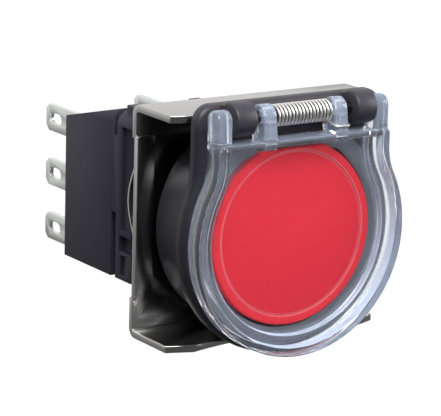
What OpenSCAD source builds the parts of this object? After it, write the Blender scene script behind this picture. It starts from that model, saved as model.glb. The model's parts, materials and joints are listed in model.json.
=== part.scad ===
// Panel button with a hinged clear lid, a spring-loaded mounting bracket and two contact units.
// Millimetres. +X right and +Z up as seen from the front, the front faces -Y.
// The origin lies on the button's axis, on the flange face that seats against the panel.

/* [Bezel] */
// Width of the round flange outside the barrel
flange_lip = 1.65; // [1.3:0.05:2.5]
// Thickness of the flange
flange_t = 1.2; // [1:0.1:1.5]
// How much narrower the neck above the round flange is on each side
neck_step = 1.4; // [1.2:0.05:1.8]
// Height of the neck's top edge above the hinge axis
neck_rise = 1.27; // [1.1:0.01:1.6]
// Radius of the neck's two top corners
neck_corner_r = 1.8; // [1:0.1:2.5]
// Radius of the hollow that leads from the round flange into the neck
neck_fillet_r = 12; // [8:0.5:16]
// Radius of the barrel that passes through the panel
barrel_r = 10.4; // [9.8:0.1:11.8]
// Wall of the barrel round the button's bore
barrel_wall = 1.15; // [1:0.05:1.3]
// Length of the barrel behind the panel face
barrel_len = 6.2; // [6:0.1:6.5]
// Thickness of the barrel's rear floor
barrel_floor_t = 1; // [0.8:0.1:1.2]

/* [Hinge] */
// Distance of the hinge axis in front of the panel face
hinge_out = 2.52; // [2.5:0.02:2.7]
// Distance of the hinge axis inside the flange's top
hinge_drop = 0.12; // [0:0.01:0.2]
// Radius of the hinge pin
pin_r = 0.6; // [0.5:0.05:0.65]
// Radial gap between the pin and the bezel's knuckles
pin_fit = 0.02; // [0.02:0.01:0.05]
// Radial gap between the pin and the lid
lid_fit = 0.05; // [0.04:0.01:0.08]
// Radius of the bezel's knuckles
knuckle_r = 1.65; // [1.5:0.05:1.7]
// Width of each knuckle
knuckle_w = 2.3; // [2:0.05:2.5]
// Gap between each knuckle and the lid's ear beside it
ear_gap = 0.1; // [0.08:0.01:0.15]

/* [Lid] */
// How far the lid's round outline lies inside the flange's
lid_inset = 0.35; // [0.3:0.05:0.9]
// How much narrower the lid's neck is on each side
lid_step = 1.85; // [1.8:0.05:2.2]
// Radius of the hollow beside the lid's neck
lid_fillet_r = 6; // [4:0.5:8]
// Depth of the lid's rim from front to back
lid_depth = 2.2; // [2.1:0.05:2.4]
// Gap between the closed lid and the bezel's flange
lid_gap = 0.3; // [0.2:0.05:0.4]
// Gap between the knuckles and the lid's top bar
bar_gap = 0.53; // [0.4:0.01:0.7]
// Height of the top bar above the window
bar_h = 0.6; // [0.4:0.05:0.7]
// Width of the rim's flat front
rim_w = 0.9; // [0.75:0.05:1]
// Depth of the ledge inside the rim's front
ledge_drop = 0.8; // [0.6:0.05:0.9]
// Width of that ledge
ledge_w = 1.1; // [1:0.05:1.2]
// Depth of the window below the rim's front
window_drop = 1.3; // [1.2:0.05:1.35]
// Thickness of the window
window_t = 0.4; // [0.3:0.05:0.45]
// Width of the hollow cored out of the rim's back
core_w = 0.65; // [0.5:0.05:0.7]
// Wall left outside that hollow
core_wall = 0.55; // [0.5:0.05:0.65]
// Depth of that hollow
core_depth = 0.9; // [0.7:0.05:0.95]
// Radius of the two outer ears above and behind the hinge axis
ear_r = 1.05; // [1:0.01:1.1]
// Reach of the ears in front of the hinge axis
ear_reach = 1.05; // [0.95:0.05:1.1]
// Width of each ear
ear_w = 1.7; // [1.6:0.05:1.75]
// Radius of the two inner lugs
lug_r = 1.2; // [1.1:0.05:1.2]
// Gap between each lug and the knuckle beside it
lug_gap = 0.95; // [0.8:0.05:1.1]
// Width of each lug
lug_w = 1.45; // [1.3:0.05:1.5]
// How far the lugs' feet stand in front of the rim
foot_proud = 0.3; // [0.2:0.05:0.4]

/* [Lid spring] */
// Outer radius of the coil on the hinge pin
coil_r = 1.1; // [1.05:0.01:1.12]
// Diameter of its wire
coil_wire = 0.25; // [0.2:0.01:0.28]
// Number of turns
coil_turns = 15.75; // [11.75:1:15.75]

/* [Button] */
// How far the flat across the cap's top lies inside its circle
cap_cut = 0.7; // [0.5:0.05:0.75]
// How far the cap's face stands in front of the flange
cap_proud = 0.6; // [0.5:0.05:0.65]
// Thickness of the cap's front
cap_front_t = 1.5; // [1.3:0.1:1.6]
// Length of the cap's skirt behind its front
cap_skirt = 2.9; // [2.5:0.1:3]
// Wall of the skirt
cap_wall = 0.95; // [0.8:0.05:1]
// Gap between the cap and the bezel all round
cap_gap = 0.15; // [0.1:0.01:0.2]
// Width of the cap's edge outside the face disc
face_edge = 1; // [0.95:0.05:1.2]
// Thickness of the face disc
face_t = 0.8; // [0.6:0.05:0.9]
// How far the face disc lies below the cap's edge
face_drop = 0.12; // [0.05:0.01:0.2]
// Travel of the button
travel = 2.5; // [2:0.1:2.5]

/* [Plunger] */
// Radius of the plunger's stem
stem_r = 2.5; // [2.3:0.05:2.6]
// Radial gap of the stem in its guide
stem_fit = 0.06; // [0.04:0.01:0.1]
// Thickness of the plunger's head
head_t = 1; // [0.8:0.1:1.2]
// Radius of the stem's reduced end
spigot_r = 1.5; // [1.4:0.05:1.6]
// Thickness of the pusher plate
pusher_t = 0.9; // [0.8:0.05:0.95]
// Radius of the pusher plate
pusher_r = 5.6; // [5.4:0.1:5.8]
// Thickness of the retaining clip
clip_t = 0.25; // [0.2:0.05:0.3]
// Outer radius of the retaining clip
clip_r = 2.2; // [2:0.05:2.3]
// Radius of the clip's groove in the stem
clip_groove_r = 1.15; // [1.05:0.05:1.2]
// Outer radius of the return spring
return_r = 3.8; // [3.6:0.05:3.9]
// Wire of the return spring
return_wire = 0.5; // [0.4:0.05:0.55]
// Turns of the return spring
return_turns = 6; // [5:1:7]

/* [Operator body] */
// Radius of the body where it passes the bracket
body_r = 7; // [6.8:0.05:7.05]
// Radius of the spigot that holds the adapter
body_spigot_r = 6.2; // [6:0.05:6.3]
// Bore that holds the return spring
body_bore_r = 4.3; // [4.2:0.05:4.4]
// Where the stem's guide starts behind the panel face
guide_y = 9.5; // [9.3:0.1:9.6]
// Length of the stem's guide
guide_len = 1.8; // [1.6:0.1:1.9]
// Radius of the collar held in the barrel's floor
collar_r = 7.5; // [7.4:0.05:7.6]
// Gap between parts that are snapped together
snap_gap = 0.05; // [0.03:0.01:0.08]

/* [Panel gasket] */
// Width of the gasket outside the barrel
gasket_w = 1.1; // [0.8:0.05:1.15]
// Depth of the gasket's groove in the flange
gasket_groove = 0.4; // [0.3:0.05:0.5]
// How far the gasket stands out of the flange
gasket_proud = 0.1; // [0.05:0.01:0.1]

/* [Mounting bracket] */
// How far each side of the bracket reaches past the round flange
bracket_side = 0.1; // [0.1:0.05:0.5]
// Clearance between the barrel and the top flange
top_clear = 0.9; // [0.8:0.05:1.1]
// Clearance between the barrel and the bottom flange
bottom_clear = 0.02; // [0.02:0.01:0.2]
// Sheet thickness
sheet_t = 0.7; // [0.5:0.05:0.8]
// Front edge of the flanges behind the panel face
bracket_front = 0.15; // [0.12:0.01:0.2]
// Front face of the web behind the panel face
web_y = 7.16; // [7.1:0.01:7.3]
// Inner radius of the bends
bend_r = 0.3; // [0.2:0.05:0.4]
// How far the embossed side strips stand forward
emboss = 0.35; // [0.25:0.05:0.4]
// Width of each embossed strip
emboss_w = 1.95; // [1.6:0.05:2.2]
// Distance of the strips' top end below the top flange
emboss_top_end = 3.1; // [2.8:0.1:3.4]
// Distance of the strips' bottom end above the bottom flange
emboss_bottom_end = 3.7; // [3.4:0.1:4]
// Width of the clip at the flanges' front corners
clip_w = 2.65; // [2:0.05:3]
// Depth of that clip
clip_d = 1; // [0.8:0.05:1.2]
// Radius of the hollow in the flanges' front edge
hollow_r = 36; // [30:1:45]
// Gap between the bracket's hole and the operator body
bracket_gap = 0.2; // [0.15:0.01:0.25]

/* [Bow spring] */
// Thickness of the bow spring's strip
bow_t = 0.2; // [0.15:0.01:0.22]
// Height of the bow behind the web
bow_h = 1.95; // [1.8:0.05:2]
// How far the bow spring's ends lie inside the bracket's
bow_inset = 0.95; // [0.7:0.05:1.2]
// Height of the bow's crest above the button's axis
bow_z = 2; // [1.8:0.1:2.2]
// Half length of the bow
bow_reach = 6.3; // [6:0.1:6.4]
// Length of each flat foot
bow_foot = 0.6; // [0.4:0.05:0.6]

/* [Adapter] */
// Half width of the adapter
adapter_half = 7.3; // [7.2:0.05:7.4]
// Half width across the adapter's two spring pads
pad_half = 9.6; // [9.3:0.1:10]
// Depth of the spring pads
pad_t = 1.2; // [1:0.1:1.5]

/* [Contact units] */
// Width of one unit
unit_w = 7.2; // [7.1:0.02:7.24]
// Spacing of the two units
unit_pitch = 7.26; // [7.26:0.02:7.3]
// Front face of the units behind the panel face
unit_front = 15.65; // [15.6:0.05:15.7]
// Joint between the unit's base and its cover
unit_joint = 19.6; // [19.5:0.05:19.7]
// Rear face of the units behind the panel face
unit_rear = 28.9; // [28.8:0.1:29.2]
// Wall of the units below the bottom tab
tab_below = 0.25; // [0.2:0.05:0.4]
// Top face of the units above the top tab
tab_above = 2.45; // [2.3:0.05:2.5]
// Top of the units at their rear face above the top tab
tab_above_rear = 0.1; // [0.1:0.05:0.3]
// Wall of the units
unit_wall = 0.85; // [0.8:0.05:0.9]
// Rear wall of the covers
rear_wall = 1.2; // [1:0.1:1.3]
// Radius of the units' outer top edge
unit_edge_r = 1.4; // [1:0.1:1.5]

/* [Terminals] */
// Width of a terminal tab
tab_w = 2.8; // [2.7:0.05:2.85]
// Thickness of a terminal tab
tab_t = 0.5; // [0.45:0.05:0.55]
// Length of a tab behind the cover
tab_len = 6.8; // [6.3:0.1:7.2]
// Spacing of the tabs
tab_pitch = 5.85; // [5.8:0.05:5.9]
// Height of the middle tab
tab_z = -0.95; // [-1:0.05:-0.9]
// Distance of the tabs from the middle of the switch
tab_x = 5.42; // [5.4:0.02:5.5]
// Gap round a tab in its slot
tab_fit = 0.03; // [0.02:0.01:0.05]
// Cut at the tab's two corners
tab_clip = 0.55; // [0.4:0.05:0.7]
// Radius of the ends of the tab's slot hole
tab_hole_r = 0.6; // [0.5:0.05:0.65]
// Length of the tab's slot hole
tab_hole_len = 2.4; // [2:0.1:2.6]
// Distance of the slot hole from the tab's tip
tab_hole_end = 0.75; // [0.6:0.05:1]
// Radius of a contact tip
tip_r = 0.5; // [0.4:0.05:0.55]
// Height of a contact tip
tip_h = 0.4; // [0.3:0.05:0.45]
// Gap between a closed pair of contacts
contact_gap = 0.05; // [0.04:0.01:0.06]

/* [Sliders] */
// Radius of the slider's stem
slider_stem_r = 0.8; // [0.7:0.05:0.8]
// Distance of the slider's stem from the middle of the switch
slider_stem_x = 3.4; // [3.35:0.05:3.5]
// Width of the slider's body
slider_w = 2.4; // [2.2:0.05:2.5]
// Height of the slider's body
slider_h = 3.4; // [3:0.1:3.6]
// Length of the slider's body
slider_len = 4.9; // [4.7:0.1:5]
// Thickness of the contact blade
blade_t = 0.3; // [0.25:0.01:0.35]
// Outer radius of the slider's spring
slider_spring_r = 1.15; // [1.05:0.05:1.2]
// Wire of the slider's spring
slider_wire = 0.28; // [0.24:0.02:0.3]
// Turns of the slider's spring
slider_turns = 5; // [4:1:6]

/* [Hidden] */
$fn = 64;

flange_r = barrel_r + flange_lip;
neck_half = flange_r - neck_step;
gasket_r = barrel_r + gasket_w;
hinge_y = -hinge_out;
hinge_z = flange_r - hinge_drop;
neck_top = hinge_z + neck_rise;
lid_r = flange_r - lid_inset;
lid_half = lid_r - lid_step;
lid_top = hinge_z - knuckle_r - bar_gap;
window_top = lid_top - bar_h;
ear_in = lid_half - ear_w;
knuckle_out = ear_in - ear_gap;
knuckle_in = knuckle_out - knuckle_w;
lug_in = knuckle_in - lug_gap - lug_w;
lid_rear = -flange_t - lid_gap;
lid_front = lid_rear - lid_depth;
window_y = lid_front + window_drop;
window_back = window_y + window_t;
foot_front = lid_front - foot_proud;
bore_r = barrel_r - barrel_wall;
cap_r = bore_r - cap_gap;
cap_flat = cap_r - cap_cut;
face_r = cap_r - face_edge;
cap_face = -flange_t - cap_proud;
cap_back = cap_face + cap_front_t;
floor_y = barrel_len - barrel_floor_t;
head_y = cap_back + snap_gap;
guide_end = guide_y + guide_len;
pusher_y = guide_end + 0.3;
clip_y = pusher_y + pusher_t + snap_gap;
stem_end = clip_y + clip_t + 0.15;
web_back = web_y + sheet_t;
bracket_half = flange_r + bracket_side;
bracket_top = barrel_r + top_clear + sheet_t;
bracket_bottom = barrel_r + bottom_clear + sheet_t;
bow_half = bracket_half - bow_inset;
adapter_y = web_back + bow_h + bow_t + snap_gap;
slider_y = clip_y;
slider_body_y = unit_front + unit_wall + 0.4;
slider_x = slider_stem_x - 0.3;
unit_bottom = tab_pitch + tab_w / 2 - tab_z + tab_below;
unit_top = tab_pitch + tab_w / 2 + tab_z + tab_above;
unit_rear_top = tab_pitch + tab_w / 2 + tab_z + tab_above_rear;
blade_y = unit_joint + 0.4;
blade_x = slider_x + slider_w / 2 + 0.05;
blade_w = tab_x - tab_t / 2 - contact_gap - blade_x;
terminal_inner = unit_rear - rear_wall;
ramp_angle = atan((unit_top - unit_rear_top) / (unit_rear - unit_joint));
over = 1;

// ---- helpers ----

// Extrudes an outline drawn in X and Z from y0 back to y1.
module along_y(y0, y1)
    translate([0, y1, 0])
        rotate([90, 0, 0])
            linear_extrude(y1 - y0)
                children();

// Extrudes an outline drawn in Y and Z from x0 to x1.
module along_x(x0, x1)
    translate([x0, 0, 0])
        rotate([90, 0, 90])
            linear_extrude(x1 - x0)
                children();

module rod_y(r, y0, y1)
    translate([0, y1, 0])
        rotate([90, 0, 0])
            cylinder(r = r, h = y1 - y0);

module rod_x(r, x0, x1)
    translate([x0, hinge_y, hinge_z])
        rotate([0, 90, 0])
            cylinder(r = r, h = x1 - x0);

module box(x0, x1, y0, y1, z0, z1)
    translate([x0, y0, z0])
        cube([x1 - x0, y1 - y0, z1 - z0]);

module both_sides() {
    children();
    mirror([1, 0, 0]) children();
}

// Points along an arc from angle a0 to a1, without its first point if skip is 1.
function arc(cx, cy, r, a0, a1, steps, skip = 0) =
    [for (i = [skip : steps]) let (a = a0 + (a1 - a0) * i / steps) [cx + r * cos(a), cy + r * sin(a)]];

// Round outline with a neck: a circle, a hollow fillet on each side and a neck with round top corners.
module neck_outline(r, half, top, corner, fillet) {
    fillet_z = sqrt((r + fillet) * (r + fillet) - (half + fillet) * (half + fillet));
    turn = atan2(fillet_z, half + fillet);
    right = concat(arc(0, 0, r, -90, turn, 48),
        arc(half + fillet, fillet_z, fillet, 180 + turn, 180, 12, 1),
        arc(half - corner, top - corner, corner, 0, 90, 8));
    left = [for (i = [len(right) - 1 : -1 : 1]) [-right[i][0], right[i][1]]];
    polygon(concat(right, left));
}

// Disc with a flat across its top.
module flat_disc(r, flat)
    intersection() {
        circle(r, $fn = 128);
        translate([-r, -r]) square([2 * r, r + flat]);
    }

// A wire swept along points: each ring of the tube stands square to the path.
function unit_vec(v) = v / norm(v);
function path_dir(p, i) = unit_vec(p[min(i + 1, len(p) - 1)] - p[max(i - 1, 0)]);
module wire(points, d, up, sides = 6) {
    rings = [for (i = [0 : len(points) - 1])
        let (t = path_dir(points, i), s = unit_vec(cross(t, up)), n = cross(s, t))
        for (k = [0 : sides - 1])
            points[i] + d / 2 * (cos(360 * k / sides) * s + sin(360 * k / sides) * n)];
    walls = [for (i = [0 : len(points) - 2], k = [0 : sides - 1])
        let (a = i * sides + k, b = i * sides + (k + 1) % sides)
        [a, b, b + sides, a + sides]];
    first = [for (k = [sides - 1 : -1 : 0]) k];
    last = [for (k = [0 : sides - 1]) (len(points) - 1) * sides + k];
    polyhedron(rings, concat([first], walls, [last]), convexity = 10);
}

// Compression spring along Y, its two end turns laid flat.
function spring_y(r, y0, y1, turns, d, x, z, steps = 14) =
    [for (i = [0 : turns * steps])
        let (u = i / (turns * steps), lift = min(1, max(0, (u * turns - 0.75) / (turns - 1.5))))
        [x + (r - d / 2) * cos(360 * i / steps),
         y0 + d / 2 + (y1 - y0 - d) * lift,
         z + (r - d / 2) * sin(360 * i / steps)]];

// ---- front bezel and lid ----

module front_bezel()
    color("#26262a")
        difference() {
            union() {
                along_y(-flange_t, 0)
                    neck_outline(flange_r, neck_half, neck_top, neck_corner_r, neck_fillet_r);
                rod_y(barrel_r, -flange_t / 2, barrel_len, $fn = 128);
                both_sides()
                    along_x(knuckle_in, knuckle_out)
                        polygon(concat(arc(hinge_y, hinge_z, knuckle_r, 60, 311, 30),
                            [[-flange_t / 2, hinge_z - knuckle_r * 0.75], [-flange_t / 2, neck_top - 0.1]]));
            }
            along_y(-flange_t - over, floor_y)
                flat_disc(bore_r, cap_flat + cap_gap);
            rod_y(collar_r + snap_gap, floor_y - over, barrel_len + over);
            rod_x(pin_r + pin_fit, -knuckle_out - over, knuckle_out + over);
            difference() {
                rod_y(gasket_r + snap_gap, -gasket_groove, over, $fn = 128);
                rod_y(barrel_r, -gasket_groove - over, 2 * over, $fn = 128);
            }
        }

module lid_outline(inset, top)
    neck_outline(lid_r - inset, lid_half - inset, top, 0.3, lid_fillet_r + inset);

module clear_lid()
    color("#dfe8ee", 0.4)
        difference() {
            union() {
                difference() {
                    along_y(lid_front, lid_rear) lid_outline(0, lid_top);
                    along_y(lid_front - over, lid_front + ledge_drop) lid_outline(rim_w, window_top);
                    for (y = [[lid_front, window_y], [window_back, lid_rear + over]])
                        along_y(y[0], y[1]) lid_outline(rim_w + ledge_w, window_top);
                    along_y(lid_rear - core_depth, lid_rear + over)
                        difference() {
                            lid_outline(core_wall, window_top);
                            lid_outline(core_wall + core_w, window_top + over);
                        }
                }
                both_sides() lid_ear();
                both_sides() lid_lug();
            }
            rod_x(pin_r + lid_fit, -knuckle_in, knuckle_in);
        }

module lid_ear()
    along_x(ear_in, lid_half)
        polygon(concat(arc(hinge_y, hinge_z, ear_r, 0, 90, 10),
            [for (a = [9 : 9 : 90]) [hinge_y - ear_reach * sin(a), hinge_z + ear_r * cos(a)]],
            [[lid_front, lid_top - 0.3], [lid_front, lid_top - 1.2], [lid_rear, lid_top - 1.2],
             [lid_rear, lid_top]]));

module lid_lug() {
    foot_back = cap_face + 0.3;
    foot_low = window_top - 0.6;
    along_x(lug_in, lug_in + lug_w)
        polygon(concat(arc(hinge_y, hinge_z, lug_r, 0, 180, 20),
            [[foot_front, lid_top], [foot_front, window_top - 0.1],
             [window_back - 0.2, foot_low], [foot_back, foot_low], [foot_back, lid_top]]));
}

module hinge_pin()
    color("silver")
        rod_x(pin_r, ear_gap - knuckle_out, knuckle_out - ear_gap);

// The coil winds round the pin. Its left leg lies on the bezel, its right leg on the lid's lug.
module lid_spring() {
    mean_r = coil_r - coil_wire / 2;
    half = lug_in - coil_wire / 2 - 0.1;
    steps = 14;
    count = floor(coil_turns * steps);
    coil = [for (i = [0 : count])
        let (a = 360 * i / steps)
        [half * (2 * i / count - 1), hinge_y + mean_r * cos(a), hinge_z + mean_r * sin(a)]];
    rest_y = -flange_t - coil_wire / 2 - 0.05;
    leg_y = foot_front - coil_wire / 2 - 0.05;
    leg_z = hinge_z - coil_r - 0.28;
    color("silver") {
        wire(concat([[-half - 0.05, rest_y, hinge_z - 1.9], [-half - 0.05, rest_y, hinge_z - 0.6]], coil,
            [[half + 0.05, hinge_y - 0.55, hinge_z - mean_r - 0.15],
             [half + 0.1, leg_y + 0.15, leg_z + 0.1], [half + 0.4, leg_y, leg_z],
             [half + 1.5, leg_y, leg_z]]), coil_wire, [1, 0.01, 0.02]);
    }
}

// ---- button and plunger ----

module button_cap()
    color("#d32f3a")
        difference() {
            union() {
                along_y(cap_face, cap_back) flat_disc(cap_r, cap_flat);
                along_y(cap_back - 0.2, cap_back + cap_skirt) flat_disc(cap_r, cap_flat);
            }
            rod_y(face_r + snap_gap, cap_face - over, cap_face + face_drop + face_t + snap_gap, $fn = 128);
            along_y(cap_back, cap_back + cap_skirt + over)
                flat_disc(cap_r - cap_wall, cap_flat - cap_wall);
        }

module button_face()
    color("#e0404c")
        rod_y(face_r, cap_face + face_drop, cap_face + face_drop + face_t, $fn = 128);

module plunger()
    color("#e8e6df")
        difference() {
            union() {
                along_y(head_y, head_y + head_t)
                    flat_disc(cap_r - cap_wall - snap_gap, cap_flat - cap_wall - snap_gap);
                rod_y(stem_r, head_y, pusher_y);
                rod_y(spigot_r, head_y, stem_end);
            }
            difference() {
                rod_y(spigot_r + over, clip_y - snap_gap / 2, clip_y + clip_t + snap_gap / 2);
                rod_y(clip_groove_r, clip_y - over, clip_y + clip_t + over);
            }
        }

module pusher_plate()
    color("#3a3a3e")
        difference() {
            rod_y(pusher_r, pusher_y, pusher_y + pusher_t);
            rod_y(spigot_r + snap_gap, pusher_y - over, pusher_y + pusher_t + over);
        }

// Snap ring with an open mouth at its bottom.
module plunger_clip()
    color("silver")
        difference() {
            rod_y(clip_r, clip_y, clip_y + clip_t);
            rod_y(clip_groove_r + snap_gap, clip_y - over, clip_y + clip_t + over);
            box(-0.9, 0.9, clip_y - over, clip_y + clip_t + over, -clip_r - over, 0);
        }

module return_spring()
    color("silver")
        wire(spring_y(return_r, head_y + head_t + snap_gap, guide_y - snap_gap, return_turns,
            return_wire, 0, 0), return_wire, [0, 1, 0]);

// ---- operator body, gasket, bracket and bow spring ----

module operator_body()
    color("#2a2a2e")
        difference() {
            union() {
                rod_y(collar_r, floor_y + 0.2, barrel_len);
                rod_y(body_r + 0.35, barrel_len - 0.1, web_y - 0.1);
                rod_y(body_r, web_y - 0.2, adapter_y);
                rod_y(body_spigot_r, adapter_y - 0.1, guide_end);
            }
            rod_y(body_bore_r, floor_y - over, guide_y);
            rod_y(stem_r + stem_fit, guide_y - over, guide_end + over);
        }

module panel_gasket()
    color("#1c1c1e")
        difference() {
            rod_y(gasket_r, -gasket_groove + 0.02, gasket_proud, $fn = 128);
            rod_y(barrel_r + snap_gap, -gasket_groove - over, over, $fn = 128);
        }

// Bent sheet seen along X: web and two flanges with round bends.
module bracket_profile() {
    bend = bend_r + sheet_t;
    front = bracket_front;
    for (edge = [[bracket_top, 1], [-bracket_bottom, -1]]) {
        z = edge[0];
        s = edge[1];
        translate([front, min(z, z - s * sheet_t)]) square([web_back - bend - front, sheet_t]);
        translate([web_back - bend, z - s * bend])
            intersection() {
                difference() {
                    circle(bend, $fn = 48);
                    circle(bend_r, $fn = 48);
                }
                translate([0, s > 0 ? 0 : -bend]) square([bend, bend]);
            }
    }
    translate([web_y, -bracket_bottom + bend])
        square([sheet_t, bracket_top + bracket_bottom - 2 * bend]);
}

// Bracket seen from above: the flanges' front corners are clipped and their front edge is hollow.
module bracket_plan() {
    front_x = bracket_half - clip_w;
    hollow_y = bracket_front - sqrt(hollow_r * hollow_r - front_x * front_x);
    turn = acos(front_x / hollow_r);
    polygon(concat([[-bracket_half, web_back + over], [-bracket_half, bracket_front + clip_d]],
        arc(0, hollow_y, hollow_r, 180 - turn, turn, 16),
        [[bracket_half, bracket_front + clip_d], [bracket_half, web_back + over]]));
}

module mounting_bracket() {
    strip_x = bracket_half - emboss_w;
    strip_low = emboss_bottom_end - bracket_bottom;
    strip_top = bracket_top - emboss_top_end;
    color("#c9cbcc")
        difference() {
            union() {
                intersection() {
                    along_x(-bracket_half, bracket_half) bracket_profile();
                    translate([0, 0, -bracket_bottom - over])
                        linear_extrude(bracket_bottom + bracket_top + 2 * over)
                            bracket_plan();
                }
                both_sides()
                    box(strip_x, bracket_half, web_y - emboss, web_y + 0.1, strip_low, strip_top);
            }
            rod_y(body_r + bracket_gap, web_y - over, web_back + over);
            both_sides() {
                // the strip's hollow back
                box(strip_x + 0.25, bracket_half + over, web_back - emboss, web_back + over,
                    strip_low + 0.25, strip_top - 0.25);
            }
        }
}

// Bowed strip between the bracket's web and the adapter, open at the bottom to pass the body.
module bow_spring() {
    steps = 16;
    curve = [for (i = [-steps : steps])
        let (u = i / steps, c = cos(90 * u))
        [web_back + snap_gap + bow_h * c * c, bow_z + bow_reach * u]];
    feet = [[web_back + snap_gap, bow_z - bow_reach - bow_foot], [web_back + snap_gap, bow_z + bow_reach + bow_foot]];
    front = concat([feet[0]], curve, [feet[1]]);
    back = [for (i = [len(front) - 1 : -1 : 0]) front[i] + [bow_t, 0]];
    color("#d6d8d8")
        difference() {
            along_x(-bow_half, bow_half) polygon(concat(front, back));
            rod_y(body_r + bracket_gap, web_back - over, adapter_y + over);
            box(-body_r - bracket_gap, body_r + bracket_gap, web_back - over, adapter_y + over,
                -2 * bow_reach, 0);
        }
}

module adapter()
    color("#2a2a2e")
        difference() {
            union() {
                along_y(adapter_y, unit_front - 0.05)
                    translate([-adapter_half, -unit_bottom])
                        square([2 * adapter_half, unit_bottom + unit_top - 0.1]);
                box(-pad_half, pad_half, adapter_y, adapter_y + pad_t, bow_z - 3, bow_z + 3);
            }
            rod_y(body_spigot_r + snap_gap, adapter_y - over, unit_front + over);
        }

// ---- contact units: each is drawn at the left and copied to the right ----

module at_right()
    translate([unit_pitch, 0, 0])
        children();

unit_x0 = -unit_pitch / 2 - unit_w / 2;
unit_x1 = unit_x0 + unit_w;

// Outer form of a unit between two places: round outer edge, a lower shoulder at the inner side.
module unit_block(y0, y1, inset = 0)
    along_y(y0, y1)
        difference() {
            translate([unit_x0 + inset, -unit_bottom + inset])
                square([unit_w - 2 * inset, unit_top + unit_bottom - 2 * inset]);
            translate([unit_x0, unit_top - unit_edge_r])
                difference() {
                    translate([-over, 0]) square([unit_edge_r + over, unit_edge_r + over]);
                    translate([unit_edge_r, 0]) circle(unit_edge_r - inset, $fn = 48);
                }
            translate([unit_x1 - 1.15 - inset, unit_top - 0.35 - inset]) square([2 + inset, 1]);
        }

module unit_base(stem_x) {
    rib_z = slider_h / 2 + 0.1;
    color("#2d2c33")
        difference() {
            union() {
                difference() {
                    unit_block(unit_front, unit_joint);
                    unit_block(unit_front + unit_wall, unit_joint + over, unit_wall);
                    // side recess, square notch and lower recess
                    box(unit_x0 - over, unit_x0 + 0.35, unit_front - over, unit_front + 2.1, -3.3, 7.3);
                    box(unit_x0 - over, unit_x0 + 0.6, unit_front - over, unit_front + 2.35, -5.5, -3.9);
                    box(unit_x0 - over, unit_x0 + 0.25, unit_front + 1, unit_front + 2, -7.9, -5.9);
                    // joint groove over the top corner and along the lower side
                    box(unit_x0 - over, unit_x1 + over, unit_joint - 0.9, unit_joint - 0.02, unit_top - 0.55, 12);
                    box(unit_x0 - over, unit_x0 + 0.5, unit_joint - 0.9, unit_joint - 0.02, 6.2, 12);
                    box(unit_x0 - over, unit_x0 + 0.5, unit_joint - 0.9, unit_joint - 0.02, -12, -1.7);
                }
                // ribs that guide the slider
                for (side = [-1, 1])
                    translate([0, 0, tab_z + side * (rib_z + 0.3)])
                        box(unit_x0 + 0.4, unit_x1 - 0.1, unit_front + 0.1, unit_joint - 0.1, -0.3, 0.3);
                // latch post on the top
                box(unit_x0 + 0.1 + unit_edge_r * 0.3, unit_x0 + 1.3 + unit_edge_r * 0.3, unit_front + 0.9,
                    unit_front + 2.1, unit_top - 1.2, unit_top + 0.75);
            }
            translate([stem_x, 0, tab_z])
                rod_y(slider_stem_r + stem_fit, unit_front - over, unit_joint, $fn = 32);
        }
}

module unit_cover(slot_x)
    color("#33323a")
        difference() {
            unit_block(unit_joint + 0.03, unit_rear);
            difference() {
                unit_block(unit_joint - over, terminal_inner, unit_wall);
                ramp_cutter(-unit_wall * 1.15);
            }
            ramp_cutter(0);
            // small slot in the sloping top
            translate([0, unit_joint, unit_top])
                rotate([-ramp_angle, 0, 0])
                    box(unit_x0 + 1.7, unit_x0 + 2.3, 0.6, 4.8, -0.4, over);
            for (row = [-1 : 1])
                box(slot_x - tab_t / 2 - tab_fit, slot_x + tab_t / 2 + tab_fit, terminal_inner - over,
                    unit_rear + over, tab_z + row * tab_pitch - tab_w / 2 - tab_fit,
                    tab_z + row * tab_pitch + tab_w / 2 + tab_fit);
        }

// Everything above the cover's sloping top, moved up or down by shift.
module ramp_cutter(shift)
    translate([0, unit_joint, unit_top + shift])
        rotate([-ramp_angle, 0, 0])
            box(unit_x0 - over, unit_x1 + over, -6, unit_rear, 0, 10);

module slider_body()
    color("#e8e6df")
        difference() {
            union() {
                translate([-slider_stem_x, 0, tab_z])
                    rod_y(slider_stem_r, slider_y, slider_body_y + 0.1, $fn = 32);
                box(-slider_x - slider_w / 2, -slider_x + slider_w / 2, slider_body_y,
                    slider_body_y + slider_len, tab_z - slider_h / 2, tab_z + slider_h / 2);
                translate([-slider_x, 0, tab_z])
                    rod_y(slider_spring_r - slider_wire - 0.12, slider_body_y + slider_len - 0.1,
                        slider_body_y + slider_len + 0.9, $fn = 32);
            }
            box(-blade_x - over, -slider_x + 0.3, blade_y - snap_gap / 2, blade_y + blade_t + snap_gap / 2,
                tab_z - 1 - snap_gap, tab_z + 1 + snap_gap);
        }

module blade_body()
    color("#c08a52") {
        box(-blade_x - blade_w, -blade_x, blade_y, blade_y + blade_t, tab_z - tab_pitch - 0.4,
            tab_z + tab_pitch + 0.4);
        box(-blade_x - blade_w * 0.5, -slider_x + 0.25, blade_y, blade_y + blade_t, tab_z - 1, tab_z + 1);
    }

module slider_spring_body()
    color("silver")
        wire(spring_y(slider_spring_r, slider_body_y + slider_len + snap_gap, terminal_inner - snap_gap,
            slider_turns, slider_wire, -slider_x, tab_z, 12), slider_wire, [0, 1, 0]);

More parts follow.
